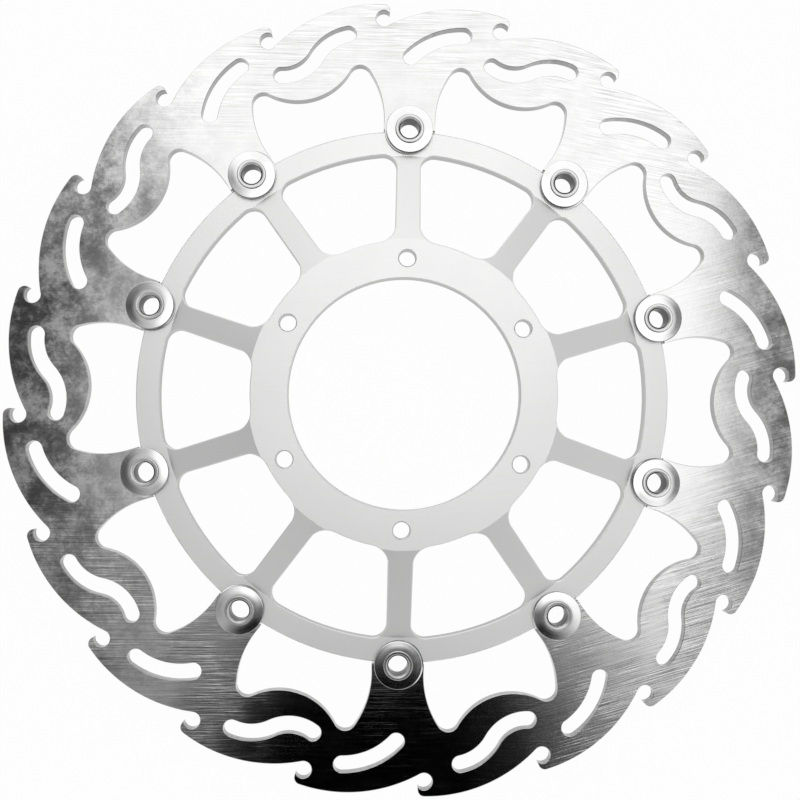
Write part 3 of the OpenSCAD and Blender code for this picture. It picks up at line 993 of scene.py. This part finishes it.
bobbin_blank = spin("bobbin", soften([
    (BORE_R, FLANGE_Z, 0.25), (FLANGE_R, FLANGE_Z, 0.3), (FLANGE_R, BACK_Z, 0.25),
    (BARREL_R, BACK_Z, 0.0), (BARREL_R, SHOULDER_Z, 0.0), (NECK_R, SHOULDER_Z, 0.0),
    (NECK_R, WASHER_TOP_Z, 0.0), (LIP_R, WASHER_TOP_Z, 0.0), (LIP_R, LIP_Z, 0.6),
    (MOUTH_R, LIP_Z, 0.6), (BORE_R, MOUTH_Z, 0.3),
], 6))
# The washer's top falls towards its rim by an eighth of a millimetre, which splits its reflections.
washer_blank = spin("washer", soften([
    (WASHER_HOLE_R, SHOULDER_Z, 0.1), (WASHER_R, SHOULDER_Z, 0.2),
    (WASHER_R, WASHER_TOP_Z - 0.13, 0.2), (9.2, WASHER_TOP_Z - 0.12, 0.0),
    (7.8, WASHER_TOP_Z - 0.06, 0.0), (6.3, WASHER_TOP_Z, 0.0), (WASHER_HOLE_R, WASHER_TOP_Z, 0.12),
]))
print("faces on a bobbin and a washer:", len(bobbin_blank.polygons), len(washer_blank.polygons))

# %% [markdown]
# The wave spring under each washer is a strip bent into a ring that rises and falls three times. It
# sits a little off centre, a different way at each bobbin, as loose springs do. A recipe makes it from
# a circle whose height follows a cosine.

# %% The spring's recipe
SPRING_Z, SPRING_TOP_Z, SPRING_H = -1.95, -0.85, 1.1
SPRING_MEAN_R, SPRING_WAVES, SPRING_POINTS = 8.825, 3, 144
STRIP_W, STRIP_T, STRIP_ROUND = 1.95, 0.4, 0.08


def make_spring_tree():
    tree, given, result = new_tree("wave_spring", [
        ("Geometry", "geometry"), ("Mean radius", "float"), ("Strip width", "float"),
        ("Strip thickness", "float"), ("Rise", "float"), ("Waves", "int"), ("Height", "float"),
        ("Material", "material")])
    circle = gn(tree, "GeometryNodeCurvePrimitiveCircle", {
        "Resolution": SPRING_POINTS, "Radius": given["Mean radius"]}).outputs[0]
    place = gn(tree, "ShaderNodeSeparateXYZ", {0: gn(tree, "GeometryNodeInputPosition").outputs[0]})
    angle = gn_math(tree, "ARCTAN2", place.outputs["Y"], place.outputs["X"])
    wave = gn_math(tree, "COSINE", gn_math(tree, "MULTIPLY", angle, given["Waves"]))
    half_rise = gn_math(tree, "MULTIPLY", given["Rise"], 0.5)
    lift = gn_math(tree, "MULTIPLY", wave, half_rise)
    lift = gn_math(tree, "ADD", lift, given["Height"])
    offset = gn(tree, "ShaderNodeCombineXYZ", {"Z": lift}).outputs[0]
    path = gn(tree, "GeometryNodeSetPosition", {"Geometry": circle, "Offset": offset}).outputs[0]
    upright = gn(tree, "GeometryNodeSetCurveNormal", {"Curve": path}, mode="Z_UP")
    strip = gn(tree, "GeometryNodeCurvePrimitiveQuadrilateral", {
        0: given["Strip width"], 1: given["Strip thickness"]}).outputs[0]
    strip = gn(tree, "GeometryNodeFilletCurve", {"Curve": strip, "Radius": STRIP_ROUND * MM}).outputs[0]
    band = gn(tree, "GeometryNodeCurveToMesh", {"Curve": upright.outputs[0], "Profile Curve": strip})
    end_recipe(tree, band.outputs[0], given["Material"], result)
    return tree


spring_blank = bake(
    make_spring_tree(), bpy.data.meshes.new("empty"), spring_steel, Mean_radius=SPRING_MEAN_R * MM,
    Strip_width=STRIP_W * MM, Strip_thickness=STRIP_T * MM, Rise=(SPRING_H - STRIP_T) * MM,
    Waves=SPRING_WAVES, Height=(SPRING_Z + SPRING_H / 2) * MM)
spring_heights = [v.co.z / MM for v in spring_blank.vertices]
print("wave spring:", len(spring_blank.polygons), "faces, from", round(min(spring_heights), 2),
      "to", round(max(spring_heights), 2), "mm")

# %% [markdown]
# One more recipe carries any of these pieces from the axle to its bobbin's place. It first writes down
# each point's distance from the piece's own centre, which the turned finish reads for its tool marks.

# %% Placing recipe
def make_place_tree():
    tree, given, result = new_tree("at_a_bobbin", [
        ("Geometry", "geometry"), ("Circle radius", "float"), ("Count", "int"), ("Number", "int"),
        ("Shift", "vector"), ("Material", "material")])
    flat = gn(tree, "ShaderNodeVectorMath", {
        0: gn(tree, "GeometryNodeInputPosition").outputs[0], 1: (1.0, 1.0, 0.0)}, operation="MULTIPLY")
    reach = gn(tree, "ShaderNodeVectorMath", {0: flat.outputs[0]}, operation="LENGTH")
    noted = gn(tree, "GeometryNodeStoreNamedAttribute", {
        "Geometry": given["Geometry"], "Name": "radius", "Value": reach.outputs["Value"]},
        data_type="FLOAT", domain="POINT")
    out = gn(tree, "ShaderNodeCombineXYZ", {"Y": given["Circle radius"]}).outputs[0]
    out = gn(tree, "ShaderNodeVectorMath", {0: out, 1: given["Shift"]}, operation="ADD").outputs[0]
    moved = gn(tree, "GeometryNodeTransform", {"Geometry": noted.outputs[0], "Translation": out})
    step = gn_math(tree, "DIVIDE", -math.tau, given["Count"])
    angle = gn_math(tree, "MULTIPLY", given["Number"], step)
    euler = gn(tree, "ShaderNodeCombineXYZ", {"Z": angle}).outputs[0]
    placed = gn(tree, "GeometryNodeTransform", {"Geometry": moved.outputs[0], "Rotation": euler})
    end_recipe(tree, placed.outputs[0], given["Material"], result)
    return tree


place_tree = make_place_tree()
print("inputs of the placing recipe:", [i.name for i in place_tree.interface.items_tree][1:])

# %% [markdown]
# Now the thirty small pieces are made and handed to their bodies.

# %% Bobbins, washers and springs
SPRING_SLIP, FIRST_SLIP, NEXT_SLIP = 0.32, 211, 137.5  # mm, and the way it lies in degrees
SMALL_PIECES = {
    "bobbin": (bobbin_blank, bobbin_steel, "bobbin_steel"),
    "washer": (washer_blank, washer_steel, "washer_steel"),
    "wave_spring": (spring_blank, spring_steel, "spring_steel"),
}


def set_at_bobbin(kind, number, shift=(0.0, 0.0, 0.0)):
    blank, material, slot_name = SMALL_PIECES[kind]
    mesh = bake(place_tree, blank, material, Circle_radius=BOBBIN_R * MM, Count=BOBBINS,
                Number=number, Shift=shift)
    open_edges = finish_mesh(mesh, SMALL_CRISP)
    label = f"{number + 1:02d}"
    obj = piece(f"fine_{kind}_{label}", mesh, material)
    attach(obj, f"bobbin_{label}")
    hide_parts(f"{kind}_{label}")
    return obj, open_edges


small_open = 0
for number in range(BOBBINS):
    slip_way = math.radians(FIRST_SLIP + NEXT_SLIP * number)
    slip = (SPRING_SLIP * MM * math.cos(slip_way), SPRING_SLIP * MM * math.sin(slip_way), 0.0)
    _, bobbin_open = set_at_bobbin("bobbin", number)
    _, washer_open = set_at_bobbin("washer", number)
    spring, spring_open = set_at_bobbin("wave_spring", number, slip)
    small_open += bobbin_open + washer_open + spring_open
    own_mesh(spring)
print("thirty small pieces made,", small_open, "open edges")
